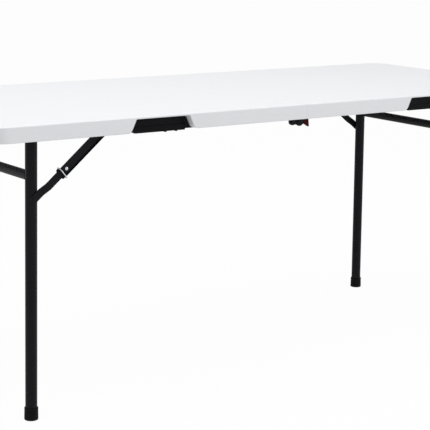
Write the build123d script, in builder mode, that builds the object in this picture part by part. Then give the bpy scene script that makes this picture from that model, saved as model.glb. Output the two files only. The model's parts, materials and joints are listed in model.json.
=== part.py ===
from build123d import *
import os
from math import atan2, cos, degrees, sin
from types import SimpleNamespace

# Fold-in-half table. X runs along the length with the seam at 0, the handle side is -Y, the floor is Z 0.
# Every size is in millimetres. "Out" means the distance from the X axis, along -Y on the handle side.

# Top
table_length = 1830.0
table_width = 760.0
table_height = 743.0
seam_gap = 0.3
skirt_depth = 39.0
skirt_width = 22.5
panel_thickness = 13.0
corner_radius = 45.0
top_edge_radius = 3.0
skirt_edge_radius = 2.0
bay_corner_radius = 24.0
seam_lip_width = 18.0
dimple_length = 78.0
dimple_width = 32.0
dimple_depth = 7.5
dimple_columns = 7
dimple_rows = 7
dimple_pitch_x = 112.0
dimple_pitch_y = 84.0

# Carrying notch in the handle side of each half, and the grip in it
notch_from_seam = 449.0
notch_roof = 5.0
notch_top_width = 156.0
notch_bottom_width = 188.0
notch_corner_radius = 4.0
notch_mouth_radius = 18.0
notch_mouth_dip = 0.5
grip_end_gap = 1.0
grip_wall = 3.0
grip_face_drop = 2.2
grip_lip = 7.6
grip_lip_half = 76.0
grip_lip_corner = 6.0
grip_hook_height = 11.1
grip_hook_gap = 0.3
grip_ridge_height = 4.0
grip_ridge_depth = 3.0
grip_ridge_from_top = 24.0
clip_tab_count = 2
clip_tab_width = 4.5
clip_tab_height = 2.0
clip_tab_pitch = 32.0
clip_tab_offset = 35.0

# Side rails
rail_width = 21.0
rail_wall = 1.5
rail_gap = 0.5
inner_web_depth = 30.5
outer_web_depth = 22.0
rail_seam_setback = 20.0
rail_end_setback = 85.0
screw_count = 4
screw_end_margin = 45.0
screw_diameter = 4.0
screw_length = 9.0
screw_head_diameter = 9.0
screw_head_height = 2.5
fit_clearance = 0.05

# Leg frames
axle_setback = 142.0
axle_diameter = 25.0
axle_wall = 1.5
axle_plug = 12.0
axle_end_gap = 0.3
axle_pin_diameter = 10.0
axle_pin_overhang = 6.0
bush_wall = 1.5
bush_flange = 1.2
bush_flange_diameter = 18.0
leg_diameter = 29.5
tube_wall = 1.2
leg_cope_depth = 5.0
foot_splay = 7.0
foot_diameter = 35.0
foot_height = 31.5
foot_floor = 4.0
foot_edge_radius = 2.5
fold_clearance = 1.5
crossbar_diameter = 24.4
left_crossbar_drop = 103.0
right_crossbar_drop = 117.0
weld_gap = 0.05

# Knee braces: the right pair is set wider, as its crossbar is set lower
left_leg_reach = 156.0
left_rail_reach = 185.0
right_leg_reach = 168.0
right_rail_reach = 207.0
ring_rail_gap = 2.5
ring_wire = 2.6
ring_gap = 0.3
ring_back_room = 1.9
ring_half_width = 14.4
ring_bend_radius = 3.5
ring_seat_gap = 0.3
channel_width = 24.5
channel_depth = 6.7
channel_web = 2.0
channel_flange = 1.5
channel_knee_end = 18.0
channel_rail_end = 11.0
channel_end_radius = 2.0
knee_gap = 0.3
strap_thickness = 2.5
strap_width = 20.0
strap_joggle = 7.0
strap_joggle_start = 24.0
strap_joggle_length = 20.0
strap_end_radius = 10.0
leg_gap = 0.5
shoulder_width = 30.0
shoulder_top = 16.5
shoulder_land = 5.0
shoulder_taper = 3.0
knee_rivet_diameter = 6.0
knee_head_diameter = 9.5
knee_head_height = 2.6
knee_tail_height = 1.0
rivet_gap = 0.2
rivet_dome = 0.8
leg_rivet_diameter = 6.0
leg_head_diameter = 10.0
leg_head_height = 2.2
pivot_diameter = 8.0
pivot_spacer_diameter = 14.0
pivot_head_diameter = 12.0
pivot_head_height = 2.0
pivot_gap = 0.3

# Centre hinge: two links, each with a pin for either half
hinge_below_skirt = 11.0
link_pitch = 22.0
link_tail_radius = 10.5
link_lobe_radius = 14.5
link_lobe_offset = 4.2
link_waist = 20.0
link_thickness = 3.0
link_gap = 0.5
bracket_thickness = 3.0
bracket_ear_gap = 0.5
bracket_arm_radius = 12.0
bracket_arm_drop = 2.0
bracket_neck_back = 9.0
bracket_reach = 62.0
hinge_pin_diameter = 7.0
hinge_head_diameter = 12.0
hinge_head_height = 2.5
seam_lip_clearance = 8.0

# Lock levers on the right half
lever_from_seam = 40.5
lever_pin_margin = 4.5
lever_boss_radius = 5.5
lever_stem_width = 8.0
lever_stem_drop = 8.0
lever_toe_reach = 9.3
lever_toe_drop = 21.3
lever_heel_reach = 4.0
lever_heel_drop = 29.0
lever_corner_radius = 2.5
lever_thickness = 5.0
lever_nose_height = 7.0
lever_nose_gap = 0.4
lever_pin_diameter = 4.0
lever_head_diameter = 7.0
lever_head_height = 1.6

# Levels and layers worked out from the sizes above
half_length = table_length / 2
half_width = table_width / 2
skirt_bottom = table_height - skirt_depth
underside = table_height - panel_thickness
panel_length = half_length - seam_gap / 2
panel_centre = -(half_length + seam_gap / 2) / 2
skirt_inner = half_width - skirt_width
rail_outer = skirt_inner - rail_gap
rail_inner = rail_outer - rail_width
rail_middle = (rail_outer + rail_inner) / 2
rail_length = half_length - rail_seam_setback - rail_end_setback

ring_front = rail_inner - ring_rail_gap
channel_front = ring_front - ring_wire - ring_gap
web_back = channel_front - channel_depth
web_front = web_back + channel_web
strap_front = web_back - knee_gap
strap_back = strap_front - strap_thickness
strap_foot_front = strap_front - strap_joggle
strap_foot_back = strap_foot_front - strap_thickness
leg_out = strap_foot_back - leg_gap - leg_diameter / 2
ring_back = strap_back - ring_back_room - ring_wire

axle_x = -(half_length - axle_setback)
axle_height = underside - fold_clearance - foot_diameter / 2
lean = atan2(foot_splay, axle_height)
leg_down = Vector(-sin(lean), 0, -cos(lean))
axle_point = Vector(axle_x, 0, axle_height)
leg_length = axle_height / cos(lean)

hinge_height = skirt_bottom - hinge_below_skirt
hinge_x = link_pitch / 2
bracket_ear_radius = hinge_x - bracket_ear_gap
bracket_out = rail_inner - bracket_thickness
link_front = bracket_out - link_gap
link_back = link_front - link_thickness
hinge_head_back = link_back - rivet_gap - hinge_head_height
seam_lip_end = hinge_head_back - seam_lip_clearance
bracket_arm_height = skirt_bottom - bracket_arm_drop + bracket_arm_radius

handle_side = Vector(0, -1, 0)


def out_plane(out, origin_x=0.0, origin_z=0.0):
    # Upright plane facing the handle side, at a distance out from the X axis
    return Plane(origin=(origin_x, -out, origin_z), x_dir=(1, 0, 0), z_dir=handle_side)


def brace_points(leg_reach, rail_reach):
    # A near left brace in the XZ plane: its lengths let it fold flat along the rail with the leg
    leg_rivet_point = axle_point + leg_down * leg_reach
    pivot = axle_point + Vector(rail_reach, 0, 0)
    span = pivot - leg_rivet_point
    angle = atan2(span.Z, span.X)
    along = Vector(cos(angle), 0, sin(angle))
    strap_reach = (span.length - rail_reach + leg_reach) / 2
    return SimpleNamespace(
        pivot=pivot,
        knee=leg_rivet_point + along * strap_reach,
        angle=angle,
        along=along,
        up=Vector(-sin(angle), 0, cos(angle)),
        strap_reach=strap_reach,
        channel_reach=span.length - strap_reach,
    )


def brace_plane(brace, out):
    # Plane of a brace, with its origin at the knee and its x axis up along the channel
    origin = Vector(brace.knee.X, -out, brace.knee.Z)
    return Plane(origin=origin, x_dir=brace.along, z_dir=handle_side)


def leg_plane(down):
    # Plane across the near left leg, some way down from the axle
    origin = axle_point + leg_down * down + handle_side * leg_out
    return Plane(origin=origin, x_dir=(0, 1, 0), z_dir=leg_down)


def mirrored(piece, plane):
    with BuildPart() as copy:
        mirror(piece.part, about=plane)
    return copy


def write(piece, name):
    piece.part.label = name
    export_step(piece.part, f"parts/{name}.step")


def write_both_halves(left_piece, kind):
    write(left_piece, f"left_{kind}")
    write(mirrored(left_piece, Plane.YZ), f"right_{kind}")


def write_both_sides(near_piece, kind):
    write(near_piece, f"near_{kind}")
    write(mirrored(near_piece, Plane.XZ), f"far_{kind}")


def write_corners(near_left_piece, kind):
    write_both_halves(near_left_piece, f"near_{kind}")
    write_both_halves(mirrored(near_left_piece, Plane.XZ), f"far_{kind}")


def write_braced(make, kind):
    # Made on the near left for the brace of either half, then mirrored to the corners
    for half, brace in braces.items():
        near_left = make(brace)
        near = near_left if half == "left" else mirrored(near_left, Plane.YZ)
        write(near, f"{half}_near_{kind}")
        write(mirrored(near, Plane.XZ), f"{half}_far_{kind}")


braces = {
    "left": brace_points(left_leg_reach, left_rail_reach),
    "right": brace_points(right_leg_reach, right_rail_reach),
}

os.makedirs("parts", exist_ok=True)

screw_span = rail_length - 2 * screw_end_margin
screw_step = screw_span / (screw_count - 1)
screw_start = -half_length + rail_end_setback + screw_end_margin
screw_points = [
    (screw_start + step * screw_step, side * rail_middle)
    for step in range(screw_count)
    for side in (-1, 1)
]

# Moulded top half: flat panel with a skirt on three sides, a lip at the seam and dimples underneath
with BuildPart() as top:
    with BuildSketch(Plane.XY.offset(skirt_bottom)) as top_plan:
        with Locations((panel_centre, 0)):
            Rectangle(panel_length, table_width)
        fillet(top_plan.vertices().group_by(Axis.X)[0], corner_radius)
    extrude(amount=skirt_depth)
    top_rim = top.faces().sort_by(Axis.Z)[-1].edges().sort_by(Axis.X)[:-1]
    fillet(top_rim, top_edge_radius)
    lower_rim = top.faces().sort_by(Axis.Z)[0].edges().sort_by(Axis.X)[:-1]
    fillet(lower_rim, skirt_edge_radius)

    bay_end = -half_length + skirt_width
    bay_seam = -seam_gap / 2 - seam_lip_width
    with BuildSketch(Plane.XY.offset(skirt_bottom)) as bay:
        with Locations(((bay_end + bay_seam) / 2, 0)):
            Rectangle(bay_seam - bay_end, 2 * skirt_inner)
        fillet(bay.vertices().group_by(Axis.X)[0], bay_corner_radius)
    extrude(amount=skirt_depth - panel_thickness, mode=Mode.SUBTRACT)

    # The seam lip stops short of the rails, so the hinges have a way through
    lip_cut_width = skirt_inner - seam_lip_end
    with BuildSketch(Plane.XY.offset(skirt_bottom)):
        for side in (-1, 1):
            with Locations((bay_seam / 2, side * (seam_lip_end + skirt_inner) / 2)):
                Rectangle(-bay_seam, lip_cut_width)
    extrude(amount=skirt_depth - panel_thickness, mode=Mode.SUBTRACT)

    with BuildSketch(Plane.XY.offset(underside)):
        with Locations((panel_centre, 0)):
            with GridLocations(dimple_pitch_x, dimple_pitch_y, dimple_columns, dimple_rows):
                SlotOverall(dimple_length, dimple_width)
    extrude(amount=dimple_depth, mode=Mode.SUBTRACT)

    with BuildSketch(Plane.XY.offset(underside)):
        with Locations(*screw_points):
            Circle(screw_diameter / 2 + fit_clearance)
    extrude(amount=screw_length, mode=Mode.SUBTRACT)

    # The notch's sides slant, and its mouth is rounded off into the skirt's lower edge
    notch_roof_height = table_height - notch_roof
    mouth_height = skirt_bottom - notch_mouth_dip
    mouth_half = notch_bottom_width / 2 + 3 * notch_mouth_radius
    with BuildSketch(out_plane(skirt_inner, -notch_from_seam)) as notch:
        with BuildLine():
            Polyline(
                (-mouth_half, mouth_height - notch_mouth_radius),
                (-mouth_half, mouth_height),
                (-notch_bottom_width / 2, mouth_height),
                (-notch_top_width / 2, notch_roof_height),
                (notch_top_width / 2, notch_roof_height),
                (notch_bottom_width / 2, mouth_height),
                (mouth_half, mouth_height),
                (mouth_half, mouth_height - notch_mouth_radius),
                close=True,
            )
        make_face()
        fillet(notch.vertices().group_by(Axis.Y)[-1], notch_corner_radius)
        fillet(notch.vertices().group_by(Axis.Y)[1].sort_by(Axis.X)[1:-1], notch_mouth_radius)
    extrude(amount=skirt_width, mode=Mode.SUBTRACT)
write_both_halves(top, "top")

# Grip: a moulded face in the notch, with a finger lip that hooks under the rail's outer web
with BuildPart() as grip:
    grip_top = notch_roof_height - grip_end_gap
    lip_top = underside - outer_web_depth - grip_hook_gap
    grip_bottom = lip_top - grip_lip
    grip_front = skirt_inner + grip_wall
    web_inside = rail_outer - rail_wall - grip_hook_gap
    hook_back = web_inside - grip_wall
    face_bottom = lip_top - grip_face_drop
    slant = (notch_bottom_width - notch_top_width) / 2 / (notch_roof_height - mouth_height)
    grip_top_half = notch_top_width / 2 - 2 * grip_end_gap
    face_bottom_half = grip_top_half + slant * (grip_top - face_bottom)
    with BuildSketch(out_plane(skirt_inner, -notch_from_seam)) as grip_face:
        with BuildLine():
            Polyline(
                (-face_bottom_half, face_bottom),
                (-grip_top_half, grip_top),
                (grip_top_half, grip_top),
                (face_bottom_half, face_bottom),
                close=True,
            )
        make_face()
        fillet(grip_face.vertices().group_by(Axis.Y)[-1], notch_corner_radius)
    extrude(amount=grip_wall)
    with BuildSketch(out_plane(hook_back, -notch_from_seam)) as lip_face:
        with BuildLine():
            Polyline(
                (-grip_lip_half, grip_bottom),
                (-grip_lip_half, lip_top),
                (grip_lip_half, lip_top),
                (grip_lip_half, grip_bottom),
                close=True,
            )
        make_face()
        fillet(lip_face.vertices().group_by(Axis.Y)[0].sort_by(Axis.X)[0], grip_lip_corner)
    extrude(amount=grip_front - hook_back)
    with Locations((-notch_from_seam, 0, 0)):
        with Locations((0, -(hook_back + web_inside) / 2, grip_bottom + grip_hook_height / 2)):
            Box(2 * (grip_lip_half - grip_lip_corner), grip_wall, grip_hook_height)
        with Locations((0, -grip_front - grip_ridge_depth / 2, grip_top - grip_ridge_from_top)):
            Box(2 * grip_top_half, grip_ridge_depth, grip_ridge_height)
        with Locations((clip_tab_offset, -(hook_back + grip_front) / 2, grip_bottom - clip_tab_height / 2)):
            with GridLocations(clip_tab_pitch, clip_tab_pitch, clip_tab_count, 1):
                Box(clip_tab_width, grip_front - hook_back, clip_tab_height)
write(grip, "left_grip")

# The right notch has the same moulding, not its mirror image
with BuildPart() as right_grip:
    with Locations((2 * notch_from_seam, 0, 0)):
        add(grip.part)
write(right_grip, "right_grip")

bush_diameter = axle_pin_diameter + 2 * bush_wall


# Side rail: a folded steel channel under the panel, its inner web deeper for the pivots
def side_rail(brace):
    with BuildPart() as rail:
        with BuildSketch(Plane.YZ.offset(-half_length + rail_end_setback)):
            with Locations((-rail_middle, underside)):
                Rectangle(rail_width, rail_wall, align=(Align.CENTER, Align.MAX))
            with Locations((-rail_outer, underside)):
                Rectangle(rail_wall, outer_web_depth, align=(Align.MIN, Align.MAX))
            with Locations((-rail_inner, underside)):
                Rectangle(rail_wall, inner_web_depth, align=(Align.MAX, Align.MAX))
        extrude(amount=rail_length)
        with BuildSketch(out_plane(rail_inner)):
            with Locations((axle_x, axle_height)):
                Circle(bush_diameter / 2 + fit_clearance)
            with Locations((brace.pivot.X, axle_height)):
                Circle(pivot_diameter / 2 + fit_clearance)
        extrude(amount=rail_wall, mode=Mode.SUBTRACT)
        with BuildSketch(Plane.XY.offset(underside)):
            with Locations(*[point for point in screw_points if point[1] < 0]):
                Circle(screw_diameter / 2 + fit_clearance)
        extrude(amount=-rail_wall, mode=Mode.SUBTRACT)
    return rail


write_braced(side_rail, "rail")

# Pan head screws that hold both rails of a half up against the panel
with BuildPart() as screws:
    with BuildSketch(Plane.XY.offset(underside - rail_wall)):
        with Locations(*screw_points):
            Circle(screw_diameter / 2)
    extrude(amount=screw_length)
    with BuildSketch(Plane.XY.offset(underside - rail_wall - screw_head_height)):
        with Locations(*screw_points):
            Circle(screw_head_diameter / 2)
    extrude(amount=screw_head_height)
write_both_halves(screws, "rail_screws")

# Flanged bushes in the inner webs, for the leg axle's pins
bush_back = rail_inner - bush_flange
with BuildPart() as bushes:
    with BuildSketch(out_plane(bush_back, axle_x, axle_height)):
        Circle(bush_flange_diameter / 2)
        Circle(axle_pin_diameter / 2 + fit_clearance, mode=Mode.SUBTRACT)
    extrude(amount=bush_flange)
    with BuildSketch(out_plane(rail_inner, axle_x, axle_height)):
        Circle(bush_diameter / 2)
        Circle(axle_pin_diameter / 2 + fit_clearance, mode=Mode.SUBTRACT)
    extrude(amount=rail_wall)
    mirror(about=Plane.XZ)
write_both_halves(bushes, "axle_bushes")

# Leg axle: a tube across the half with a plug and a pin in each end
axle_end = bush_back - axle_end_gap
with BuildPart() as axle:
    with BuildSketch(out_plane(0, axle_x, axle_height)):
        Circle(axle_diameter / 2)
        Circle(axle_diameter / 2 - axle_wall, mode=Mode.SUBTRACT)
    extrude(amount=axle_end)
    with BuildSketch(out_plane(axle_end - axle_plug, axle_x, axle_height)):
        Circle(axle_diameter / 2)
    extrude(amount=axle_plug)
    with BuildSketch(out_plane(axle_end, axle_x, axle_height)):
        Circle(axle_pin_diameter / 2)
    extrude(amount=rail_inner + axle_pin_overhang - axle_end)
    mirror(about=Plane.XZ)
write_both_halves(axle, "leg_axle")

# Leg: a tube coped onto the axle at its top and standing in its foot
with BuildPart() as leg:
    with BuildSketch(leg_plane(leg_cope_depth)):
        Circle(leg_diameter / 2)
        Circle(leg_diameter / 2 - tube_wall, mode=Mode.SUBTRACT)
    extrude(amount=leg_length - foot_floor - leg_cope_depth)
    with BuildSketch(out_plane(leg_out - leg_diameter, axle_x, axle_height)):
        Circle(axle_diameter / 2 + weld_gap)
    extrude(amount=2 * leg_diameter, mode=Mode.SUBTRACT)
write_corners(leg, "leg")

# Foot: a moulded cup on the end of the leg, cut flat along the floor
with BuildPart() as foot:
    with BuildSketch(leg_plane(leg_length - foot_height)):
        Circle(foot_diameter / 2)
    extrude(amount=foot_height + foot_floor)
    split(bisect_by=Plane.XY, keep=Keep.TOP)
    fillet(foot.faces().sort_by(Axis.Z)[0].edges(), foot_edge_radius)
    with BuildSketch(leg_plane(leg_length - foot_height)):
        Circle(leg_diameter / 2 + fit_clearance)
    extrude(amount=foot_height - foot_floor, mode=Mode.SUBTRACT)
write_corners(foot, "foot")


# Crossbar: a tube between the legs, coped onto both, lower on the right frame than on the left
def left_half_crossbar(drop):
    crossbar_point = axle_point + leg_down * drop
    with BuildPart() as crossbar:
        with BuildSketch(out_plane(0, crossbar_point.X, crossbar_point.Z)):
            Circle(crossbar_diameter / 2)
            Circle(crossbar_diameter / 2 - tube_wall, mode=Mode.SUBTRACT)
        extrude(amount=leg_out - leg_diameter / 4)
        with BuildSketch(leg_plane(drop - crossbar_diameter)):
            Circle(leg_diameter / 2 + weld_gap)
        extrude(amount=2 * crossbar_diameter, mode=Mode.SUBTRACT)
        mirror(about=Plane.XZ)
    return crossbar


write(left_half_crossbar(left_crossbar_drop), "left_crossbar")
write(mirrored(left_half_crossbar(right_crossbar_drop), Plane.YZ), "right_crossbar")


# Upper link of a brace: a pressed channel that swings on the rail and carries the knee rivet
def brace_channel(brace):
    channel_length = channel_knee_end + brace.channel_reach + channel_rail_end
    channel_centre = (brace.channel_reach + channel_rail_end - channel_knee_end) / 2
    with BuildPart() as channel:
        with BuildSketch(brace_plane(brace, web_back)) as channel_plan:
            with Locations((channel_centre, 0)):
                Rectangle(channel_length, channel_width)
            fillet(channel_plan.vertices(), channel_end_radius)
        extrude(amount=channel_web)
        flange_length = channel_length - 2 * channel_end_radius
        flange_place = (channel_width - channel_flange) / 2
        with BuildSketch(brace_plane(brace, web_front)):
            for edge in (-1, 1):
                with Locations((channel_centre, edge * flange_place)):
                    Rectangle(flange_length, channel_flange)
        extrude(amount=channel_depth - channel_web)
        with BuildSketch(brace_plane(brace, web_back)):
            Circle(knee_rivet_diameter / 2 + fit_clearance)
            with Locations((brace.channel_reach, 0)):
                Circle(pivot_diameter / 2 + fit_clearance)
        extrude(amount=channel_web, mode=Mode.SUBTRACT)
    return channel


write_braced(brace_channel, "brace_channel")


# Lower strap of a brace: flat bar, joggled in to the leg, with shoulders that stop the ring
def brace_strap(brace):
    joggle_low = -brace.strap_reach + strap_joggle_start
    joggle_high = joggle_low + strap_joggle_length
    with BuildPart() as strap:
        with BuildSketch(brace_plane(brace, strap_foot_back)):
            with Locations((-brace.strap_reach / 2, 0)):
                Rectangle(brace.strap_reach, strap_width)
            Circle(strap_end_radius)
            with Locations((-brace.strap_reach, 0)):
                Circle(strap_end_radius)
            with BuildLine():
                Polyline(
                    (-shoulder_top, shoulder_width / 2),
                    (-shoulder_top - shoulder_land, shoulder_width / 2),
                    (-shoulder_top - shoulder_land - shoulder_taper, strap_width / 2),
                    (-shoulder_top - shoulder_land - shoulder_taper, -strap_width / 2),
                    (-shoulder_top - shoulder_land, -shoulder_width / 2),
                    (-shoulder_top, -shoulder_width / 2),
                    close=True,
                )
            make_face()
            Circle(knee_rivet_diameter / 2 + fit_clearance, mode=Mode.SUBTRACT)
            with Locations((-brace.strap_reach, 0)):
                Circle(leg_rivet_diameter / 2 + fit_clearance, mode=Mode.SUBTRACT)
        extrude(amount=strap_front - strap_foot_back)
        side_plane = Plane(
            origin=(brace.knee.X, 0, brace.knee.Z), x_dir=brace.along, z_dir=brace.up * -1
        )
        with BuildSketch(side_plane):
            with BuildLine():
                Polyline(
                    (-brace.strap_reach - shoulder_width, strap_foot_back),
                    (-brace.strap_reach - shoulder_width, strap_foot_front),
                    (joggle_low, strap_foot_front),
                    (joggle_high, strap_front),
                    (shoulder_width, strap_front),
                    (shoulder_width, strap_back),
                    (joggle_high, strap_back),
                    (joggle_low, strap_foot_back),
                    close=True,
                )
            make_face()
        extrude(amount=shoulder_width, both=True, mode=Mode.INTERSECT)
    return strap


write_braced(brace_strap, "brace_strap")


# Lock ring: bent wire round the channel's end and the strap, held by the shoulders
def lock_ring(brace):
    ring_low = ring_back + ring_wire / 2
    ring_high = ring_front - ring_wire / 2
    ring_side = ring_half_width + ring_wire / 2
    ring_rest = shoulder_top - ring_wire / 2 - ring_seat_gap
    ring_origin = brace.knee - brace.along * ring_rest
    ring_plane = Plane(origin=ring_origin, x_dir=brace.up, z_dir=brace.along)
    with BuildPart() as ring:
        with BuildLine(ring_plane):
            ring_loop = FilletPolyline(
                (ring_side, ring_low),
                (ring_side, ring_high),
                (-ring_side, ring_high),
                (-ring_side, ring_low),
                radius=ring_bend_radius,
                close=True,
            )
        with BuildSketch(Plane(origin=ring_loop @ 0, z_dir=ring_loop % 0)):
            Circle(ring_wire / 2)
        sweep(path=ring_loop)
    return ring


write_braced(lock_ring, "lock_ring")


# Knee rivet: through the channel's web and the strap, with a domed head in the channel
def knee_rivet(brace):
    with BuildPart() as rivet:
        tail_front = strap_back - rivet_gap
        with BuildSketch(brace_plane(brace, tail_front - knee_tail_height)):
            Circle(knee_head_diameter / 2)
        extrude(amount=knee_tail_height)
        with BuildSketch(brace_plane(brace, tail_front)):
            Circle(knee_rivet_diameter / 2)
        extrude(amount=web_front - tail_front)
        with BuildSketch(brace_plane(brace, web_front)):
            Circle(knee_head_diameter / 2)
        extrude(amount=knee_head_height)
        fillet(rivet.faces().sort_by(Axis.Y)[0].edges(), knee_head_height * rivet_dome)
    return rivet


write_braced(knee_rivet, "knee_rivet")


# Leg rivet: in the strap's lower end, its tail just clear of the leg
def leg_rivet(brace):
    with BuildPart() as rivet:
        with BuildSketch(brace_plane(brace, strap_foot_back)):
            with Locations((-brace.strap_reach, 0)):
                Circle(leg_rivet_diameter / 2)
        extrude(amount=strap_thickness)
        with BuildSketch(brace_plane(brace, strap_foot_front)):
            with Locations((-brace.strap_reach, 0)):
                Circle(leg_head_diameter / 2)
        extrude(amount=leg_head_height)
        fillet(rivet.faces().sort_by(Axis.Y)[0].edges(), leg_head_height * rivet_dome)
    return rivet


write_braced(leg_rivet, "leg_rivet")


# Brace pivots: shouldered pins from the inner webs to the channels
def brace_pivots(brace):
    with BuildPart() as pivots:
        pivot_steps = (
            (web_back - pivot_gap - pivot_head_height, web_back - pivot_gap, pivot_head_diameter),
            (web_back - pivot_gap, web_front + pivot_gap, pivot_diameter),
            (web_front + pivot_gap, rail_inner, pivot_spacer_diameter),
            (rail_inner, rail_inner + rail_wall, pivot_diameter),
            (rail_inner + rail_wall, rail_inner + rail_wall + pivot_head_height, pivot_head_diameter),
        )
        for start, stop, diameter in pivot_steps:
            with BuildSketch(out_plane(start, brace.pivot.X, brace.pivot.Z)):
                Circle(diameter / 2)
            extrude(amount=stop - start)
        mirror(about=Plane.XZ)
    return pivots


write(brace_pivots(braces["left"]), "left_brace_pivots")
write(mirrored(brace_pivots(braces["right"]), Plane.YZ), "right_brace_pivots")

# Hinge bracket: a plate on the rail's inner web, with a steep neck to an ear below the seam
with BuildPart() as bracket:
    arm_length = bracket_reach - bracket_neck_back
    arm_middle = (bracket_reach + bracket_neck_back) / 2
    with BuildSketch(out_plane(bracket_out, -hinge_x)):
        with Locations((0, hinge_height)):
            Circle(bracket_ear_radius)
        with Locations((-bracket_neck_back, bracket_arm_height)):
            Circle(bracket_arm_radius)
        make_hull()
        with Locations((-arm_middle, bracket_arm_height)):
            SlotCenterToCenter(arm_length, 2 * bracket_arm_radius)
        with Locations((0, hinge_height)):
            Circle(hinge_pin_diameter / 2 + fit_clearance, mode=Mode.SUBTRACT)
    extrude(amount=bracket_thickness)
write_corners(bracket, "hinge_bracket")

# Hinge pins of one half: shank through ear and link, a head on either end
with BuildPart() as hinge_pins:
    pin_steps = (
        (hinge_head_back, link_back - rivet_gap, hinge_head_diameter),
        (link_back - rivet_gap, rail_inner, hinge_pin_diameter),
        (rail_inner, rail_inner + hinge_head_height, hinge_head_diameter),
    )
    for start, stop, diameter in pin_steps:
        with BuildSketch(out_plane(start, -hinge_x, hinge_height)):
            Circle(diameter / 2)
        extrude(amount=stop - start)
    mirror(about=Plane.XZ)
write_both_halves(hinge_pins, "hinge_pins")

# Hinge link: a plate between the two pins that leaves room for the folded legs, with a lobe for the lock
with BuildPart() as link:
    with BuildSketch(out_plane(link_back, 0, hinge_height)):
        with Locations((-hinge_x, 0)):
            Circle(link_tail_radius)
        with Locations((hinge_x + link_lobe_offset, 0)):
            Circle(link_lobe_radius)
        Rectangle(link_pitch, link_waist)
        for pin_x in (-hinge_x, hinge_x):
            with Locations((pin_x, 0)):
                Circle(hinge_pin_diameter / 2 + fit_clearance, mode=Mode.SUBTRACT)
    extrude(amount=link_thickness)
write_both_sides(link, "hinge_link")

# Lock lever: a moulded thumb piece beside the link, its nose against the round lobe
lever_height = skirt_bottom - bracket_arm_drop + lever_pin_margin
lever_front = link_front
lever_back = lever_front - lever_thickness
nose_tip = hinge_x + link_lobe_offset + link_lobe_radius + lever_nose_gap
with BuildPart() as lever:
    with BuildSketch(out_plane(lever_back, lever_from_seam, lever_height)):
        with Locations((0, -lever_stem_drop)):
            Circle(lever_stem_width / 2)
        with Locations((-lever_toe_reach, -lever_toe_drop), (lever_heel_reach, -lever_heel_drop)):
            Circle(lever_corner_radius)
        make_hull()
        Circle(lever_boss_radius)
        Rectangle(lever_stem_width, lever_stem_drop, align=(Align.CENTER, Align.MAX))
        with Locations((nose_tip - lever_from_seam, hinge_height - lever_height)):
            Rectangle(lever_from_seam - nose_tip, lever_nose_height, align=(Align.MIN, Align.CENTER))
        Circle(lever_pin_diameter / 2 + fit_clearance, mode=Mode.SUBTRACT)
    extrude(amount=lever_thickness)
write_both_sides(lever, "lock_lever")

# Lever pins: from the right hinge brackets through the levers
with BuildPart() as lever_pins:
    lever_steps = (
        (lever_back - rivet_gap - lever_head_height, lever_back - rivet_gap, lever_head_diameter),
        (lever_back - rivet_gap, bracket_out, lever_pin_diameter),
    )
    for start, stop, diameter in lever_steps:
        with BuildSketch(out_plane(start, lever_from_seam, lever_height)):
            Circle(diameter / 2)
        extrude(amount=stop - start)
    mirror(about=Plane.XZ)
write(lever_pins, "lock_lever_pins")

print(f"axle {axle_x:.3f} {axle_height:.3f}, lean {degrees(lean):.4f}")
for half, brace in braces.items():
    print(f"{half} knee {brace.knee.X:.3f} {brace.knee.Z:.3f}, brace angle {degrees(brace.angle):.4f}")
    print(f"{half} strap {brace.strap_reach:.3f}, channel {brace.channel_reach:.3f}")
    print(f"{half} pivot {brace.pivot.X:.3f}")
print(f"leg out {leg_out:.3f}, hinge {hinge_x:.3f} {hinge_height:.3f}, lever height {lever_height:.3f}")
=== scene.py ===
import bpy
import bmesh
import json
from math import cos, pi, radians, sin, sqrt
from mathutils import Matrix, Vector


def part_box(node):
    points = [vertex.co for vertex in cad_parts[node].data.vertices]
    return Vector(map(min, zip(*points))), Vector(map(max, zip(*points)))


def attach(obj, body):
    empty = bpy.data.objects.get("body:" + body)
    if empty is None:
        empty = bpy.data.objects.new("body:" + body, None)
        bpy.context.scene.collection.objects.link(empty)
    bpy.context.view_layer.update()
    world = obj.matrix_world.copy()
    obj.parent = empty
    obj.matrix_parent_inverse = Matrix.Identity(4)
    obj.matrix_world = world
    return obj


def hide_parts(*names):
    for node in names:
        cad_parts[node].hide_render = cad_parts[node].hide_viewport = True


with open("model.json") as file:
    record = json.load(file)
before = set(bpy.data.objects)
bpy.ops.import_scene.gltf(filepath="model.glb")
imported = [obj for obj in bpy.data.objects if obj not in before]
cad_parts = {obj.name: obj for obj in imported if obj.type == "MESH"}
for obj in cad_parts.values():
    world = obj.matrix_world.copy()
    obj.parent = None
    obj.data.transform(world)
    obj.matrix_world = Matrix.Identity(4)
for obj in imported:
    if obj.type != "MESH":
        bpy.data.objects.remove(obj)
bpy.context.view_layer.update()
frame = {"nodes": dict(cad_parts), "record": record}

scene = bpy.context.scene
scene.view_settings.view_transform = "Standard"
mm = 0.001
halves = ("left", "right")
rows = {"near": -1.0, "far": 1.0}    # sign of Y on the two long sides

record = frame["record"]
slotOf = {row["node"]: row["material_slot"] for row in record["subparts"]}
bodyOf = {node: body for body, held in record["behaviour"]["bodies"].items() for node in held}
hinges = [joint for joint in record["behaviour"]["joints"] if "pos_m" in joint]
jointAt = {joint["name"]: Vector(joint["pos_m"]) for joint in hinges}


def linear(hexColour):
    channels = [int(hexColour[i:i + 2], 16) / 255 for i in (1, 3, 5)]
    return [c / 12.92 if c <= 0.04045 else ((c + 0.055) / 1.055) ** 2.4 for c in channels] + [1.0]


def perMetre(sizeMm):    # texture scale whose features are about this many millimetres across
    return 1000.0 / sizeMm


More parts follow.
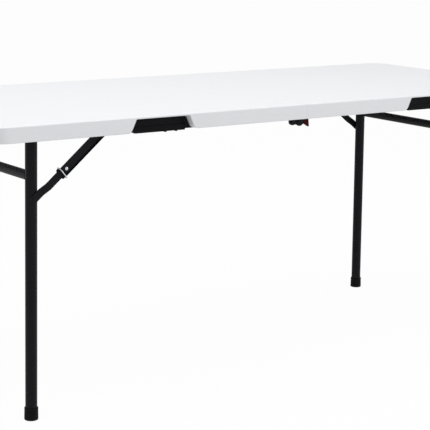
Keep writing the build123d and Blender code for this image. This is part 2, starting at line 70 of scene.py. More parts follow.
def addNode(tree, kind, inputs={}, **settings):
    node = tree.nodes.new(kind)
    for name, value in settings.items():
        setattr(node, name, value)
    for name, value in inputs.items():
        if isinstance(value, bpy.types.NodeSocket):
            tree.links.new(value, node.inputs[name])
        else:
            node.inputs[name].default_value = value
    return node


def newFinish(name):
    finish = bpy.data.materials.new(name)
    finish.use_nodes = True
    tree = finish.node_tree
    tree.nodes.clear()
    place = addNode(tree, "ShaderNodeTexCoord").outputs["Object"]
    return finish, tree, place


# Blow-moulded polyethylene: white, slightly waxy, with a fine pebble from the mould.
# The real pebble is about 1 mm and would not show, so it is drawn at 3 mm.
topPlastic = {"white": "#f3f3f5", "shade": "#eff0f2", "pebbleMm": 3.0, "pebbleHeightMm": 0.05,
              "flowMm": 220.0, "roughness": (0.46, 0.56), "ior": 1.52}


def blowMouldedPolyethylene(look):
    finish, tree, place = newFinish("blowMouldedPolyethylene")
    flow = addNode(tree, "ShaderNodeTexNoise",
                   {"Vector": place, "Scale": perMetre(look["flowMm"]), "Detail": 2.0})
    colour = addNode(tree, "ShaderNodeMix", {"Factor": flow.outputs["Fac"], "A": linear(look["white"]),
                                             "B": linear(look["shade"])}, data_type="RGBA")
    pebble = addNode(tree, "ShaderNodeTexVoronoi", {"Vector": place, "Scale": perMetre(look["pebbleMm"]),
                                                    "Smoothness": 0.6}, feature="SMOOTH_F1")
    gloss = addNode(tree, "ShaderNodeMapRange", {
        "Value": pebble.outputs["Distance"], "From Max": 0.7,
        "To Min": look["roughness"][0], "To Max": look["roughness"][1]})
    relief = addNode(tree, "ShaderNodeBump", {"Height": pebble.outputs["Distance"], "Strength": 0.5,
                                              "Distance": look["pebbleHeightMm"] * mm}, invert=True)
    shader = addNode(tree, "ShaderNodeBsdfPrincipled", {
        "Base Color": colour.outputs["Result"], "Roughness": gloss.outputs["Result"], "IOR": look["ior"],
        "Normal": relief.outputs["Normal"]})
    addNode(tree, "ShaderNodeOutputMaterial", {"Surface": shader.outputs["BSDF"]})
    return finish


# Powder coat on steel: near black, a satin film with a faint orange peel.
# The peel is about 1.5 mm and is drawn at 2.5 mm.
coat = {"black": "#131316", "bloom": "#19191d", "peelMm": 2.5, "peelHeightMm": 0.03, "bloomMm": 70.0,
        "roughness": (0.36, 0.46), "ior": 1.5, "specular": 0.09}


def powderCoatedSteel(look):
    finish, tree, place = newFinish("powderCoatedSteel")
    bloom = addNode(tree, "ShaderNodeTexNoise",
                    {"Vector": place, "Scale": perMetre(look["bloomMm"]), "Detail": 5.0})
    colour = addNode(tree, "ShaderNodeMix", {"Factor": bloom.outputs["Fac"], "A": linear(look["black"]),
                                             "B": linear(look["bloom"])}, data_type="RGBA")
    peel = addNode(tree, "ShaderNodeTexNoise",
                   {"Vector": place, "Scale": perMetre(look["peelMm"]), "Detail": 1.0})
    gloss = addNode(tree, "ShaderNodeMapRange", {
        "Value": bloom.outputs["Fac"], "From Min": 0.3, "From Max": 0.7,
        "To Min": look["roughness"][0], "To Max": look["roughness"][1]})
    relief = addNode(tree, "ShaderNodeBump", {"Height": peel.outputs["Fac"], "Strength": 0.6,
                                              "Distance": look["peelHeightMm"] * mm})
    shader = addNode(tree, "ShaderNodeBsdfPrincipled", {
        "Base Color": colour.outputs["Result"], "Roughness": gloss.outputs["Result"], "IOR": look["ior"],
        "Specular IOR Level": look["specular"], "Normal": relief.outputs["Normal"]})
    addNode(tree, "ShaderNodeOutputMaterial", {"Surface": shader.outputs["BSDF"]})
    return finish


# Moulded polypropylene for the feet and grips: black, duller than the paint, with a fine spark-eroded grain.
# The grain is about 0.3 mm and is drawn at 1.2 mm.
capPlastic = {"black": "#141416", "scuff": "#242426", "grainMm": 1.2, "grainHeightMm": 0.04, "scuffMm": 14.0,
              "roughness": (0.5, 0.68), "ior": 1.49, "specular": 0.06}


def mouldedPolypropylene(look):
    finish, tree, place = newFinish("mouldedPolypropylene")
    scuff = addNode(tree, "ShaderNodeTexNoise", {
        "Vector": place, "Scale": perMetre(look["scuffMm"]), "Detail": 6.0, "Roughness": 0.65})
    worn = addNode(tree, "ShaderNodeMapRange",
                   {"Value": scuff.outputs["Fac"], "From Min": 0.55, "From Max": 0.85})
    colour = addNode(tree, "ShaderNodeMix", {"Factor": worn.outputs["Result"], "A": linear(look["black"]),
                                             "B": linear(look["scuff"])}, data_type="RGBA")
    grain = addNode(tree, "ShaderNodeTexNoise",
                    {"Vector": place, "Scale": perMetre(look["grainMm"]), "Detail": 2.0})
    gloss = addNode(tree, "ShaderNodeMapRange", {
        "Value": scuff.outputs["Fac"], "From Min": 0.3, "From Max": 0.7,
        "To Min": look["roughness"][0], "To Max": look["roughness"][1]})
    relief = addNode(tree, "ShaderNodeBump", {"Height": grain.outputs["Fac"], "Strength": 0.6,
                                              "Distance": look["grainHeightMm"] * mm})
    shader = addNode(tree, "ShaderNodeBsdfPrincipled", {
        "Base Color": colour.outputs["Result"], "Roughness": gloss.outputs["Result"], "IOR": look["ior"],
        "Specular IOR Level": look["specular"], "Normal": relief.outputs["Normal"]})
    addNode(tree, "ShaderNodeOutputMaterial", {"Surface": shader.outputs["BSDF"]})
    return finish


# Moulded ABS for the lock levers: deep red, a satin gloss with slight flow marks.
leverPlastic = {"red": "#520d13", "flow": "#430a0f", "flowMm": 18.0, "grainMm": 1.5, "grainHeightMm": 0.02,
                "roughness": 0.36, "ior": 1.54, "specular": 0.05}


def mouldedAbs(look):
    finish, tree, place = newFinish("mouldedAbs")
    flow = addNode(tree, "ShaderNodeTexNoise",
                   {"Vector": place, "Scale": perMetre(look["flowMm"]), "Detail": 3.0})
    colour = addNode(tree, "ShaderNodeMix", {"Factor": flow.outputs["Fac"], "A": linear(look["red"]),
                                             "B": linear(look["flow"])}, data_type="RGBA")
    grain = addNode(tree, "ShaderNodeTexNoise",
                    {"Vector": place, "Scale": perMetre(look["grainMm"]), "Detail": 1.0})
    relief = addNode(tree, "ShaderNodeBump", {"Height": grain.outputs["Fac"], "Strength": 0.5,
                                              "Distance": look["grainHeightMm"] * mm})
    shader = addNode(tree, "ShaderNodeBsdfPrincipled", {
        "Base Color": colour.outputs["Result"], "Roughness": look["roughness"], "IOR": look["ior"],
        "Specular IOR Level": look["specular"], "Normal": relief.outputs["Normal"]})
    addNode(tree, "ShaderNodeOutputMaterial", {"Surface": shader.outputs["BSDF"]})
    return finish


# Bright zinc plate on steel wire and rivets: silver with a cool cast and a patchy haze.
plate = {"silver": "#d7d9dc", "haze": "#b4b7bc", "hazeMm": 5.0, "roughness": (0.22, 0.4)}


def zincPlatedSteel(look):
    finish, tree, place = newFinish("zincPlatedSteel")
    haze = addNode(tree, "ShaderNodeTexNoise",
                   {"Vector": place, "Scale": perMetre(look["hazeMm"]), "Detail": 4.0})
    colour = addNode(tree, "ShaderNodeMix", {"Factor": haze.outputs["Fac"], "A": linear(look["silver"]),
                                             "B": linear(look["haze"])}, data_type="RGBA")
    gloss = addNode(tree, "ShaderNodeMapRange", {
        "Value": haze.outputs["Fac"], "From Min": 0.3, "From Max": 0.7,
        "To Min": look["roughness"][0], "To Max": look["roughness"][1]})
    shader = addNode(tree, "ShaderNodeBsdfPrincipled", {
        "Base Color": colour.outputs["Result"], "Roughness": gloss.outputs["Result"], "Metallic": 1.0})
    addNode(tree, "ShaderNodeOutputMaterial", {"Surface": shader.outputs["BSDF"]})
    return finish


# Moulded nylon for the axle bushes: milky off-white and slick, with faint stains.
bushPlastic = {"milk": "#dcdad2", "stain": "#cfccc2", "stainMm": 6.0, "roughness": 0.4, "ior": 1.53}


def mouldedNylon(look):
    finish, tree, place = newFinish("mouldedNylon")
    stain = addNode(tree, "ShaderNodeTexNoise",
                    {"Vector": place, "Scale": perMetre(look["stainMm"]), "Detail": 3.0})
    colour = addNode(tree, "ShaderNodeMix", {"Factor": stain.outputs["Fac"], "A": linear(look["milk"]),
                                             "B": linear(look["stain"])}, data_type="RGBA")
    shader = addNode(tree, "ShaderNodeBsdfPrincipled", {
        "Base Color": colour.outputs["Result"], "Roughness": look["roughness"], "IOR": look["ior"]})
    addNode(tree, "ShaderNodeOutputMaterial", {"Surface": shader.outputs["BSDF"]})
    return finish


finishes = {
    "moulded_top": blowMouldedPolyethylene(topPlastic),
    "black_paint": powderCoatedSteel(coat),
    "black_plastic": mouldedPolypropylene(capPlastic),
    "red_plastic": mouldedAbs(leverPlastic),
    "zinc": zincPlatedSteel(plate),
    "nylon": mouldedNylon(bushPlastic),
}
for name, node in frame["nodes"].items():
    node.data.materials.clear()
    node.data.materials.append(finishes[slotOf[name]])
print("materials:", len(finishes), "finishes")


def addPiece(name, shape, like, stands=True):    # rides with the node it is like, in that node's finish
    bmesh.ops.recalc_face_normals(shape, faces=shape.faces)
    mesh = bpy.data.meshes.new(name)
    shape.to_mesh(mesh)
    shape.free()
    mesh.shade_smooth()
    mesh.materials.append(finishes[slotOf[like]])
    piece = bpy.data.objects.new(name, mesh)
    scene.collection.objects.link(piece)
    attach(piece, bodyOf[like])
    if stands:
        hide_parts(like)
    return piece


def foldedArea(piece):    # square millimetres of faces that a wide rounding has turned inside out
    made = piece.evaluated_get(bpy.context.evaluated_depsgraph_get())
    mesh = made.to_mesh()
    mesh.calc_loop_triangles()
    folded = 0.0
    for triangle in mesh.loop_triangles:
        if triangle.normal.dot(mesh.polygons[triangle.polygon_index].normal) < 0:
            folded += triangle.area / mm ** 2
    made.to_mesh_clear()
    return folded


# A rounding that turns faces inside out is tried again narrower
rounding = {"parts": (1.0, 0.7, 0.45, 0.25), "foldedMm2": 0.5}


def roundEdges(piece, edgeMm, by="ANGLE", segments=3, sharpDeg=35.0):
    bevel = piece.modifiers.new("roundEdges", "BEVEL")
    bevel.segments = segments
    bevel.limit_method = by
    bevel.angle_limit = radians(sharpDeg)
    bevel.use_clamp_overlap = False
    bevel.loop_slide = False    # an even width, also beside the edges that split a flat face
    piece.modifiers.new("flatFaces", "WEIGHTED_NORMAL").keep_sharp = True
    for part in rounding["parts"]:
        bevel.width = edgeMm * mm * part
        if foldedArea(piece) < rounding["foldedMm2"]:
            break
        print(piece.name, "folds at part", part, "of its rounding")


def weldedCopy(node, flatDeg=0.5, joinMm=0.005):    # a node's mesh with its flat faces whole, for rounding
    shape = bmesh.new()
    shape.from_mesh(frame["nodes"][node].data)
    bmesh.ops.remove_doubles(shape, verts=shape.verts, dist=joinMm * mm)
    bmesh.ops.dissolve_limit(shape, angle_limit=radians(flatDeg), verts=shape.verts, edges=shape.edges)
    return shape


def outerEdges(shape, sharpDeg=35.0, holeMm=16.0):    # weighs convex outer edges, leaves small holes sharp
    weight = shape.edges.layers.float.new("bevel_weight_edge")
    sharp = [edge for edge in shape.edges if edge.calc_face_angle(0.0) > radians(sharpDeg)]
    left = {edge for edge in sharp if edge.is_convex}
    while left:
        chain = [left.pop()]
        for edge in chain:
            near = [other for corner in edge.verts for other in corner.link_edges if other in left]
            left.difference_update(near)
            chain += near
        places = [corner.co for edge in chain for corner in edge.verts]
        spans = [[place[axis] for place in places] for axis in range(3)]
        reach = max(max(span) - min(span) for span in spans)
        for edge in chain:
            edge[weight] = 1.0 if reach > holeMm * mm else 0.0
    for edge in sharp:
        edge.smooth = edge[weight] > 0
    return shape


def turned(shape, profile, centreAt, sides=56, turn=Matrix.Identity(3)):
    # profile is pairs of reach and radius; centreAt gives the middle of the ring at a reach
    spokes = [Vector((cos(2 * pi * k / sides), sin(2 * pi * k / sides), 0)) for k in range(sides)]
    rings = []
    for reach, radius in profile:
        around = spokes if radius > 0 else [Vector((0, 0, 0))]
        rings.append([shape.verts.new(centreAt(reach) + turn @ (spoke * radius)) for spoke in around])
    for low, high in zip(rings, rings[1:]):
        for k in range(sides):
            after = k + 1
            corners = (low[k % len(low)], low[after % len(low)], high[after % len(high)], high[k % len(high)])
            shape.faces.new(list(dict.fromkeys(corners)))


def dome(start, height, radius, steps=7):    # profile of a round head, from its rim to its crown
    angles = [pi / 2 * k / steps for k in range(steps)]
    curve = [(start + height * sin(angle), radius * cos(angle)) for angle in angles]
    return curve + [(start + height, 0.0)]


# Top halves: the mould leaves every inner edge soft, and the seam edges nearly sharp
topEdges = {"seamMm": 0.7, "notchMm": 1.5, "bayMm": 2.0, "sharpDeg": 35.0, "nearMm": 1.0}


def mouldedTop(half, look):
    node = half + "_top"
    shape = weldedCopy(node)
    low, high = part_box(node)
    railLow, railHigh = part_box(half + "_far_rail")
    seam = high.x if half == "left" else low.x
    weight = shape.edges.layers.float.new("bevel_weight_edge")
    largest = max(look["seamMm"], look["notchMm"], look["bayMm"])
    near = look["nearMm"] * mm
    for edge in shape.edges:
        if len(edge.link_faces) != 2 or edge.calc_face_angle(0.0) < radians(look["sharpDeg"]):
            continue
        middle = (edge.verts[0].co + edge.verts[1].co) / 2
        underRail = railLow.y < abs(middle.y) < railHigh.y and middle.z > railHigh.z - near
        radius = look["bayMm"]
        if abs(middle.x - seam) < 2 * near:
            radius = look["seamMm"]
        elif middle.y < -railHigh.y:    # only the notch's front rim, down to where its mouth begins
            onRim = middle.y < low.y + near and middle.z > low.z + 2 * near
            radius = look["notchMm"] if onRim else 0.0
        edge[weight] = 0.0 if underRail else radius / largest
        edge.smooth = edge[weight] > 0
    piece = addPiece(half + "MouldedTop", shape, node)
    roundEdges(piece, largest, by="WEIGHT", segments=4)


for half in halves:
    mouldedTop(half, topEdges)
print("top halves moulded")

# Pieces whose solids are right in shape and need only the soft edges of their making, in millimetres
softEdges = {"grip": 0.36, "near_rail": 0.6, "far_rail": 0.6, "leg_axle": 0.8, "axle_bushes": 0.3,
             "brace_pivots": 0.4, "near_hinge_bracket": 0.6, "far_hinge_bracket": 0.6, "hinge_pins": 0.9,
             "near_brace_channel": 0.6, "far_brace_channel": 0.6, "near_brace_strap": 0.5,
             "far_brace_strap": 0.5}
centreEdges = {"hingeLink": 0.6, "leverPins": 0.4}


def softened(node, edgeMm):    # the piece takes the node's name without its underscores
    words = node.split("_")
    name = words[0] + "".join(word.capitalize() for word in words[1:])
    roundEdges(addPiece(name, outerEdges(weldedCopy(node)), node), edgeMm, by="WEIGHT")


for half in halves:
    for kind, edgeMm in softEdges.items():
        softened(f"{half}_{kind}", edgeMm)
for row in rows:
    softened(row + "_hinge_link", centreEdges["hingeLink"])
roundEdges(addPiece("leverPins", weldedCopy("lock_lever_pins"), "lock_lever_pins"), centreEdges["leverPins"])
print("edges rounded on", 2 * len(softEdges) + 3, "pieces")

# Lock levers: a moulded wedge with level thumb ridges across its lower end
lever = {"edgeMm": 0.9, "sharpDeg": 50.0, "ridges": 4, "ridgeMm": 0.7, "ridgePitchMm": 3.2, "firstMm": 6.7,
         "inset": (0.36, 0.84), "narrowMm": 1.0, "ridgeEnd": 0.6, "sides": 12}


def lockLever(row, look):
    node = row + "_lock_lever"
    low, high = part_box(node)
    face = low.y if rows[row] < 0 else high.y
    shape = weldedCopy(node)
    bar = look["ridgeMm"] * mm
    tip = bar * look["ridgeEnd"]
    turn = Vector((1, 0, 0)).to_track_quat("Z", "Y").to_matrix()
    startX, endX = (low.x + part * (high.x - low.x) for part in look["inset"])
    for k in range(look["ridges"]):
        level = low.z + (look["firstMm"] + k * look["ridgePitchMm"]) * mm
        start = Vector((startX + k * look["narrowMm"] * mm, face, level))
        length = endX - start.x
        profile = [(0.0, 0.0), (0.0, tip), (bar, bar), (length - bar, bar), (length, tip), (length, 0.0)]
        turned(shape, profile, lambda reach: start + Vector((reach, 0, 0)), sides=look["sides"], turn=turn)
    piece = addPiece(row + "LockLever", shape, node)
    roundEdges(piece, look["edgeMm"], sharpDeg=look["sharpDeg"])


for row in rows:
    lockLever(row, lever)
print("lock levers made")

# Leg frames: drawn tubes, coped where they meet and welded all round
tube = {"wallMm": 1.2, "copeMm": 5.0, "gapMm": 0.05, "edgeMm": 0.2, "sides": 72}
bead = {"radiusMm": 1.9, "ripple": 0.16, "ripplesPerTurn": 26, "sides": 10, "steps": 208}


def weldBead(shape, pointAt, outAt, look):    # a rippled bead along a closed curve
    steps = look["steps"]
    turns = [2 * pi * j / look["sides"] for j in range(look["sides"])]
    rings = []
    for k in range(steps):
        angle = 2 * pi * k / steps
        ahead = 2 * pi * (k + 1) / steps
        forward = (pointAt(ahead) - pointAt(angle - 2 * pi / steps)).normalized()
        out = outAt(angle)
        out = (out - forward * out.dot(forward)).normalized()
        side = forward.cross(out)
        radius = look["radiusMm"] * mm * (1 + look["ripple"] * sin(look["ripplesPerTurn"] * angle))
        rings.append([shape.verts.new(pointAt(angle) + (out * cos(around) + side * sin(around)) * radius)
                      for around in turns])
    for low, high in zip(rings, rings[1:] + rings[:1]):
        for j in range(look["sides"]):
            after = (j + 1) % look["sides"]
            shape.faces.new((low[j], low[after], high[after], high[j]))


def tubeWalls(shape, sides, outerStart, outerEnd, innerStart, innerEnd):    # each gives a point for an angle
    rings = [[shape.verts.new(edge(2 * pi * k / sides)) for k in range(sides)]
             for edge in (outerStart, outerEnd, innerEnd, innerStart)]
    for low, high in zip(rings, rings[1:] + rings[:1]):
        for k in range(sides):
            after = (k + 1) % sides
            shape.faces.new((low[k], low[after], high[after], high[k]))


def legLine(half, row):    # where the leg leaves the axle, its way down and the way square to it
    low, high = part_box(f"{half}_{row}_leg")
    footLow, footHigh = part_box(f"{half}_{row}_foot")
    axle = jointAt[half + "_leg_fold"]
    head = Vector((axle.x, (low.y + high.y) / 2, axle.z))
    down = (footLow + footHigh) / 2 - head
    down = Vector((down.x, 0, down.z)).normalized()
    return head, down, Vector((-down.z, 0, down.x))


def weldedLeg(half, row, look):
    node = f"{half}_{row}_leg"
    low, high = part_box(node)
    head, down, across = legLine(half, row)
    axleLow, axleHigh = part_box(half + "_leg_axle")
    radius = (high.y - low.y) / 2
    axleRadius = (axleHigh.z - axleLow.z) / 2 + look["gapMm"] * mm
    reachEnd = (head.z - low.z) / -down.z

    def outward(size, angle):
        return across * (size * sin(angle)) + Vector((0, size * cos(angle), 0))

    def ends(size):
        def cope(angle):
            sideways = size * sin(angle)
            return max(look["copeMm"] * mm, sqrt(max(axleRadius ** 2 - sideways ** 2, 0.0)))
        return (lambda angle: head + down * cope(angle) + outward(size, angle),
                lambda angle: head + down * reachEnd + outward(size, angle))

    outerTop, outerEnd = ends(radius)
    innerTop, innerEnd = ends(radius - look["wallMm"] * mm)
    shape = bmesh.new()
    tubeWalls(shape, look["sides"], outerTop, outerEnd, innerTop, innerEnd)
    piece = addPiece(f"{half}{row.capitalize()}Leg", shape, node)
    roundEdges(piece, look["edgeMm"], segments=2)
    shape = bmesh.new()
    weldBead(shape, outerTop, lambda angle: outward(radius, angle), bead)
    addPiece(f"{half}{row.capitalize()}LegWeld", shape, node, stands=False)


def weldedCrossbar(half, look):
    node = half + "_crossbar"
    low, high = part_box(node)
    middle = (low + high) / 2
    radius = (high.z - low.z) / 2
    head, down, across = legLine(half, "near")
    legLow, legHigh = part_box(half + "_near_leg")
    legRadius = (legHigh.y - legLow.y) / 2 + look["gapMm"] * mm

    def end(size, sign):
        def edge(angle):
            sideways = size * sin(angle)
            out = abs(head.y) - sqrt(legRadius ** 2 - sideways ** 2)
            return middle + across * sideways + down * (size * cos(angle)) + Vector((0, sign * out, 0))
        return edge

    inner = radius - look["wallMm"] * mm
    shape = bmesh.new()
    tubeWalls(shape, look["sides"], end(radius, -1), end(radius, 1), end(inner, -1), end(inner, 1))
    piece = addPiece(half + "Crossbar", shape, node)
    roundEdges(piece, look["edgeMm"], segments=2)
    for row, sign in rows.items():
        shape = bmesh.new()
        weldBead(shape, end(radius, sign), lambda angle: across * sin(angle) + down * cos(angle), bead)
        addPiece(f"{half}{row.capitalize()}CrossbarWeld", shape, node, stands=False)


for half in halves:
    weldedCrossbar(half, tube)
    for row in rows:
        weldedLeg(half, row, tube)
print("leg frames welded")

# Foot caps: a moulded cup with a rolled rim, a grip groove and a ringed tread
foot = {"floorMm": 4.0, "rimMm": 1.0, "rimRound": 0.3, "grooveMm": (9.0, 10.6), "grooveDeepMm": 0.6,
        "draftMm": 0.35, "edgeMm": 2.5, "edgeSteps": 6, "treads": ((4.0, 6.0), (8.5, 10.5)),
        "treadDeepMm": 0.9, "gapMm": 0.05, "softMm": 0.25, "sides": 72}


def footCap(half, row, look):
    node = f"{half}_{row}_foot"
    low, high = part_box(node)
    legLow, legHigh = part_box(f"{half}_{row}_leg")
    radius = (high.y - low.y) / 2 / mm
    bore = (legHigh.y - legLow.y) / 2 / mm + look["gapMm"]
    tall = (high.z - low.z) / mm
    head, down = legLine(half, row)[:2]
    profile = [(0.0, 0.0)]
    for inner, outer in look["treads"]:
        profile += [(0.0, inner), (look["treadDeepMm"], inner), (look["treadDeepMm"], outer), (0.0, outer)]
    for k in range(look["edgeSteps"] + 1):
        angle = pi / 2 * k / look["edgeSteps"]
        profile.append((look["edgeMm"] * (1 - cos(angle)), radius - look["edgeMm"] * (1 - sin(angle))))
    grooveTop, grooveEnd = (tall - depth for depth in look["grooveMm"])
    neck = radius - look["draftMm"]
    groove = neck - look["grooveDeepMm"]
    rim = look["rimMm"]
    soft = look["rimRound"] * rim
    profile += [(grooveEnd, neck), (grooveEnd, groove), (grooveTop, groove), (grooveTop, neck)]
    profile += [(tall - rim, neck), (tall - soft, neck - soft), (tall, neck - rim)]
    profile += [(tall, bore), (look["floorMm"], bore), (look["floorMm"], 0.0)]

    def centreAt(reach):
        drop = head.z - reach
        return head + down * (drop / -down.z)

    shape = bmesh.new()
    turned(shape, [(reach * mm, size * mm) for reach, size in profile], centreAt, sides=look["sides"])
    piece = addPiece(f"{half}{row.capitalize()}FootCap", shape, node)
    roundEdges(piece, look["softMm"], segments=2)


for half in halves:
    for row in rows:
        footCap(half, row, foot)
print("foot caps moulded")

# Rivets: a round head outside, an upset tail inside
rivets = {
    "knee_rivet": {"shankMm": 3.0, "headMm": 2.6, "tailMm": 1.0},
    "leg_rivet": {"shankMm": 3.0, "headMm": 2.2, "tailMm": 0.0},
}
rivetForm = {"crown": 0.85, "tailEnd": 0.75, "tailRound": 0.5}
bracketRivet = {"radiusMm": 4.0, "rimMm": 0.2, "highMm": 1.8, "belowTopMm": 12.0, "fromSeamMm": (53.0, 67.0),
                "sides": 32}


def rivet(half, row, kind, look):
    node = f"{half}_{row}_{kind}"
    low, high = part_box(node)
    out = Vector((0, rows[row], 0))
    radius = (high.z - low.z) / 2
    long = high.y - low.y
    start = Vector(((low.x + high.x) / 2, high.y if rows[row] < 0 else low.y, (low.z + high.z) / 2))
    tail = look["tailMm"] * mm
    head = look["headMm"] * mm
    shank = look["shankMm"] * mm
    crown = rivetForm["crown"] * head
    profile = [(0.0, 0.0), (0.0, shank)]
    if tail:
        profile = [(0.0, 0.0), (0.0, radius * rivetForm["tailEnd"]), (tail * rivetForm["tailRound"], radius),
                   (tail, radius), (tail, shank)]
    profile += [(long - head, shank), (long - head, radius)] + dome(long - crown, crown, radius)
    shape = bmesh.new()
    turned(shape, profile, lambda reach: start + out * reach, turn=out.to_track_quat("Z", "Y").to_matrix())
    addPiece(f"{half}{row.capitalize()}{kind.split('_')[0].capitalize()}Rivet", shape, node)


def bracketRivets(half, row, look):    # two heads that hold the hinge bracket to the rail
    node = f"{half}_{row}_hinge_bracket"
    low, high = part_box(node)
    inward = Vector((0, -rows[row], 0))
    face = high.y if rows[row] < 0 else low.y
    armHeight = high.z - look["belowTopMm"] * mm
    sign = -1 if half == "left" else 1
    radius = look["radiusMm"] * mm
    profile = [(0.0, 0.0), (0.0, radius)] + dome(look["rimMm"] * mm, look["highMm"] * mm, radius)
    turn = inward.to_track_quat("Z", "Y").to_matrix()
    shape = bmesh.new()
    for fromSeam in look["fromSeamMm"]:
        start = Vector((sign * fromSeam * mm, face, armHeight))
        turned(shape, profile, lambda reach: start + inward * reach, sides=look["sides"], turn=turn)
    addPiece(f"{half}{row.capitalize()}BracketRivets", shape, node, stands=False)


for half in halves:
    for row in rows:
        bracketRivets(half, row, bracketRivet)
        for kind, look in rivets.items():
            rivet(half, row, kind, look)
print("rivets set")

# Rail screws: pan heads with a cross recess
screw = {"perSide": 4, "headMm": 9.0, "headHighMm": 2.5, "crown": 0.65, "shankMm": 4.0, "recessMm": 5.2,
         "slotMm": 1.1, "deepMm": 1.5, "sides": 40}


def crossHead(look, long):    # one screw, point at the origin and head up
    headRadius = look["headMm"] / 2 * mm
    shank = look["shankMm"] / 2 * mm
    headHigh = look["headHighMm"] * mm
    crown = look["crown"] * headHigh
    profile = [(0.0, 0.0), (0.0, shank), (long - headHigh, shank), (long - headHigh, headRadius)]
    profile += dome(long - crown, crown, headRadius)
    head = bmesh.new()
    turned(head, profile, lambda reach: Vector((0, 0, reach)), sides=look["sides"])
    bmesh.ops.recalc_face_normals(head, faces=head.faces)
    cross = bmesh.new()
    for wide, tall in ((look["recessMm"], look["slotMm"]), (look["slotMm"], look["recessMm"])):
        size = Matrix.Diagonal((wide * mm, tall * mm, 2 * look["deepMm"] * mm, 1))
        bmesh.ops.create_cube(cross, size=1.0, matrix=Matrix.Translation((0, 0, long)) @ size)
    made = []
    for name, shape in (("screwBlank", head), ("crossBit", cross)):
        mesh = bpy.data.meshes.new(name)
        shape.to_mesh(mesh)
        shape.free()
        made.append(bpy.data.objects.new(name, mesh))
        scene.collection.objects.link(made[-1])
    blank, bit = made
    cut = blank.modifiers.new("recess", "BOOLEAN")
    cut.object = bit
    cut.operation = "DIFFERENCE"
    cut.solver = "EXACT"
    cut.use_self = True
    done = bpy.data.meshes.new_from_object(blank.evaluated_get(bpy.context.evaluated_depsgraph_get()))
    bpy.data.objects.remove(blank)
    bpy.data.objects.remove(bit)
    return done


def railScrews(half, look):
    node = half + "_rail_screws"
    low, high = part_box(node)
    headRadius = look["headMm"] / 2 * mm
    oneScrew = crossHead(look, high.z - low.z)
    step = (high.x - low.x - 2 * headRadius) / (look["perSide"] - 1)
    shape = bmesh.new()
    for k in range(look["perSide"]):
        for sign in rows.values():
            place = Vector((low.x + headRadius + k * step, sign * (high.y - headRadius), high.z))
            before = len(shape.verts)
            shape.from_mesh(oneScrew)
            shape.verts.ensure_lookup_table()
            headDown = Matrix.Translation(place) @ Matrix.Rotation(pi, 4, "X")
            bmesh.ops.transform(shape, matrix=headDown, verts=shape.verts[before:])
    piece = addPiece(half + "RailScrews", shape, node)
    piece.modifiers.new("flatFaces", "WEIGHTED_NORMAL")


for half in halves:
    railScrews(half, screw)
print("screws driven")

# Room: a wide floor that reads as white and still takes the table's shadow
room = {"size": 90.0, "floor": "#e2e2e2", "glow": 0.96, "ambient": 0.56, "sky": "#f8f9fb"}


def seenRays(tree):    # 1 for rays that show the room as white, 0 for rays that only bring its light
    path = addNode(tree, "ShaderNodeLightPath")
    seen = path.outputs["Is Camera Ray"]
    for kind in ("Is Glossy Ray", "Is Transmission Ray"):
        either = addNode(tree, "ShaderNodeMath", {0: seen, 1: path.outputs[kind]}, operation="MAXIMUM")
        seen = either.outputs[0]
    return seen


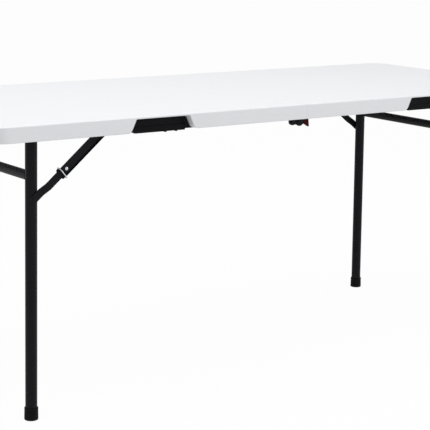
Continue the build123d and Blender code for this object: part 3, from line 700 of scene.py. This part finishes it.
def layFloor(look):
    finish = bpy.data.materials.new("floorPaper")
    finish.use_nodes = True
    tree = finish.node_tree
    tree.nodes.clear()
    paper = addNode(tree, "ShaderNodeBsdfDiffuse", {"Color": linear(look["floor"])})
    bright = addNode(tree, "ShaderNodeBsdfDiffuse", {"Color": (1, 1, 1, 1)})
    glow = addNode(tree, "ShaderNodeEmission", {"Color": (1, 1, 1, 1), "Strength": 1.0})
    mixed = addNode(tree, "ShaderNodeMixShader",
                    {"Fac": look["glow"], 1: bright.outputs[0], 2: glow.outputs[0]})
    shown = addNode(tree, "ShaderNodeMixShader",
                    {"Fac": seenRays(tree), 1: paper.outputs[0], 2: mixed.outputs[0]})
    addNode(tree, "ShaderNodeOutputMaterial", {"Surface": shown.outputs[0]})
    mesh = bpy.data.meshes.new("floor")
    half = look["size"] / 2
    corners = [(-half, -half, 0), (half, -half, 0), (half, half, 0), (-half, half, 0)]
    mesh.from_pydata(corners, [], [(0, 1, 2, 3)])
    mesh.materials.append(finish)
    floor = bpy.data.objects.new("floor", mesh)
    scene.collection.objects.link(floor)


def hangSky(look):
    world = bpy.data.worlds.new("studio")
    scene.world = world
    world.use_nodes = True
    tree = world.node_tree
    tree.nodes.clear()
    fill = addNode(tree, "ShaderNodeBackground", {"Color": linear(look["sky"]), "Strength": look["ambient"]})
    white = addNode(tree, "ShaderNodeBackground", {"Color": (1, 1, 1, 1), "Strength": 1.0})
    both = addNode(tree, "ShaderNodeMixShader",
                   {"Fac": seenRays(tree), 1: fill.outputs[0], 2: white.outputs[0]})
    addNode(tree, "ShaderNodeOutputWorld", {"Surface": both.outputs[0]})


layFloor(room)
hangSky(room)

# Soft boxes: one large one overhead, one low on the right
lamps = {
    "overhead": {"place": (-0.9, -0.7, 3.8), "aim": (-0.3, -0.2, 0.7), "size": 3.6, "watts": 60.0},
    "right": {"place": (5.6, -5.2, 2.4), "aim": (0.0, 0.0, 0.5), "size": 2.6, "watts": 104.0},
}
for name, lamp in lamps.items():
    data = bpy.data.lights.new(name, "AREA")
    data.shape = "DISK"
    data.size = lamp["size"]
    data.energy = lamp["watts"]
    light = bpy.data.objects.new(name, data)
    light.location = lamp["place"]
    light.rotation_euler = (Vector(lamp["aim"]) - Vector(lamp["place"])).to_track_quat("-Z", "Y").to_euler()
    light.visible_camera = False
    scene.collection.objects.link(light)

# Camera, fitted to the top's edges, the seam, the legs and the feet
view = {"place": (-2.44694, -3.41116, 1.23336), "yaw": 35.424, "down": 11.492, "roll": 0.878,
        "lens": 124.76, "sensor": 36.0}
lens = bpy.data.cameras.new("camera")
lens.lens = view["lens"]
lens.sensor_width = view["sensor"]
camera = bpy.data.objects.new("camera", lens)
turn = (Matrix.Rotation(radians(-view["yaw"]), 4, "Z") @ Matrix.Rotation(radians(90 - view["down"]), 4, "X")
        @ Matrix.Rotation(radians(view["roll"]), 4, "Z"))
camera.matrix_world = Matrix.Translation(view["place"]) @ turn
scene.collection.objects.link(camera)
scene.camera = camera
print("room, lamps and camera set")
